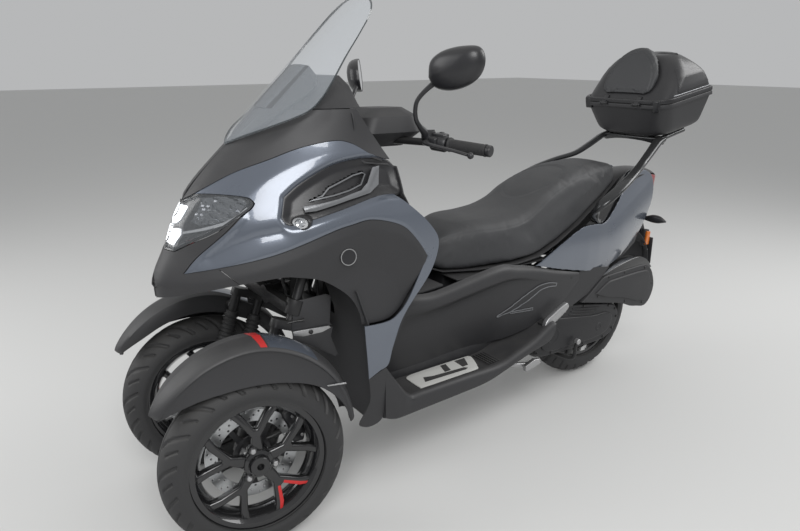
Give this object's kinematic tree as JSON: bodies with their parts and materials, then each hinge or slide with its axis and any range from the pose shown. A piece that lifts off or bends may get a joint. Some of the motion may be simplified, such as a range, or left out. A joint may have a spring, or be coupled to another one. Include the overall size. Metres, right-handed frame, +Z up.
{
  "type": "three-wheeled scooter",
  "caption": "Leaning scooter with two steered front wheels and one driven rear wheel, tall clear screen, stepped seat and a rear top box; rolls, steers and opens its lids.",
  "frame": {"origin": "on the ground below the middle of the vehicle, halfway along its length and its width", "axes": "X points forward in the direction of travel, Y to the rider's left, Z up"},
  "size_m": [2.4487, 0.8225, 1.5039],
  "materials": {
    "paint": "glossy slate blue-grey paint on plastic panels",
    "matte_black": "matte black textured moulded plastic",
    "frame_black": "black painted steel",
    "wheel_black": "gloss black painted cast alloy",
    "tyre": "black tyre rubber",
    "rubber": "soft black rubber",
    "steel": "ground stainless steel",
    "alloy": "bare cast aluminium",
    "engine_grey": "dark coated castings",
    "seat_cover": "dark grey grained vinyl",
    "clear": "clear polycarbonate",
    "lamp_red": "red lens",
    "lamp_clear": "clear lens over a bright reflector",
    "mat_grey": "light grey anti-slip foot mat"
  },
  "bodies": {
    "chassis": {"air_box": "matte_black", "belly_pan": "matte_black", "body_covers": "matte_black", "cvt_case": "engine_grey", "dash_cowl": "matte_black", "duct_panels": "matte_black", "engine": "engine_grey", "floorboards": "matte_black", "foot_mats": "mat_grey", "frame": "frame_black", "front_liner": "matte_black", "grab_rails": "frame_black", "headlamps": "lamp_clear", "indicators": "lamp_clear", "lean_arms": "frame_black", "leg_shield": "matte_black", "lower_cowls": "matte_black", "muffler": "frame_black", "nose_cowl": "matte_black", "passenger_pegs": "alloy", "plate_holder": "matte_black", "radiator": "frame_black", "rear_shocks": "frame_black", "side_cowls": "paint", "storage_tub": "matte_black", "swing_arm": "frame_black", "tail_cowls": "paint", "tail_lamp": "lamp_red", "top_box_base": "matte_black", "tunnel_cover": "matte_black", "windscreen": "clear"},
    "handlebar": {"handlebar": "frame_black", "handlebar_cowl": "matte_black", "hand_grips": "rubber", "hand_controls": "matte_black", "mirrors": "matte_black"},
    "fork_left": {"fork_left": "frame_black", "fender_left": "matte_black"},
    "fork_right": {"fork_right": "frame_black", "fender_right": "matte_black"},
    "wheel_left": {"tyre_left": "tyre", "rim_left": "wheel_black", "disc_left": "steel"},
    "wheel_right": {"tyre_right": "tyre", "rim_right": "wheel_black", "disc_right": "steel"},
    "wheel_rear": {"tyre_rear": "tyre", "rim_rear": "wheel_black", "disc_rear": "steel"},
    "seat": {"seat": "seat_cover", "seat_pan": "matte_black"},
    "box_lid": {"top_box_lid": "matte_black", "backrest_pad": "seat_cover"},
    "side_stand": {"side_stand": "alloy"},
    "centre_stand": {"centre_stand": "frame_black"},
    "fuel_lid": {"fuel_lid": "matte_black"}
  },
  "joints": [
    {"name": "handlebar_steer", "type": "hinge", "parent": "chassis", "child": "handlebar", "pos_m": [0.402, 0, 1.075], "axis": [-0.342, 0, 0.9397], "range_deg": [-26.5, 43.5]},
    {"name": "fork_left_steer", "type": "hinge", "parent": "chassis", "child": "fork_left", "pos_m": [0.9276, 0.148, 0.262], "axis": [-0.342, 0, 0.9397], "range_deg": [-26.5, 43.5]},
    {"name": "fork_right_steer", "type": "hinge", "parent": "chassis", "child": "fork_right", "pos_m": [0.9276, -0.148, 0.262], "axis": [-0.342, 0, 0.9397], "range_deg": [-26.5, 43.5]},
    {"name": "wheel_left_spin", "type": "hinge", "parent": "fork_left", "child": "wheel_left", "pos_m": [0.96848, 0.23024, 0.26174], "axis": [0.1389, 0.989, 0.0506], "continuous": true},
    {"name": "wheel_right_spin", "type": "hinge", "parent": "fork_right", "child": "wheel_right", "pos_m": [0.94111, -0.23785, 0.26174], "axis": [0.1389, 0.989, 0.0506], "continuous": true},
    {"name": "wheel_rear_spin", "type": "hinge", "parent": "chassis", "child": "wheel_rear", "pos_m": [-0.64, 0, 0.276], "axis": [0, 1, 0], "continuous": true},
    {"name": "seat_hinge", "type": "hinge", "parent": "chassis", "child": "seat", "pos_m": [0.268, 0, 0.634], "axis": [0, 1, 0], "range_deg": [0, 45]},
    {"name": "box_lid_hinge", "type": "hinge", "parent": "chassis", "child": "box_lid", "pos_m": [-0.79809, 0, 1.14882], "axis": [0, 1, 0], "range_deg": [0, 70]},
    {"name": "side_stand_pivot", "type": "hinge", "parent": "chassis", "child": "side_stand", "pos_m": [-0.03, 0, 0.222], "axis": [0, 1, 0], "range_deg": [-100, 0]},
    {"name": "centre_stand_pivot", "type": "hinge", "parent": "chassis", "child": "centre_stand", "pos_m": [-0.3, 0, 0.196], "axis": [0, 1, 0], "range_deg": [-80, 0]},
    {"name": "fuel_lid_hinge", "type": "hinge", "parent": "chassis", "child": "fuel_lid", "pos_m": [0.303, 0, 0.625], "axis": [0, 1, 0], "range_deg": [-85, 0]}
  ],
  "couplings": [
    {"joint": "fork_left_steer", "follows": "handlebar_steer", "ratio": 1},
    {"joint": "fork_right_steer", "follows": "handlebar_steer", "ratio": 1}
  ]
}
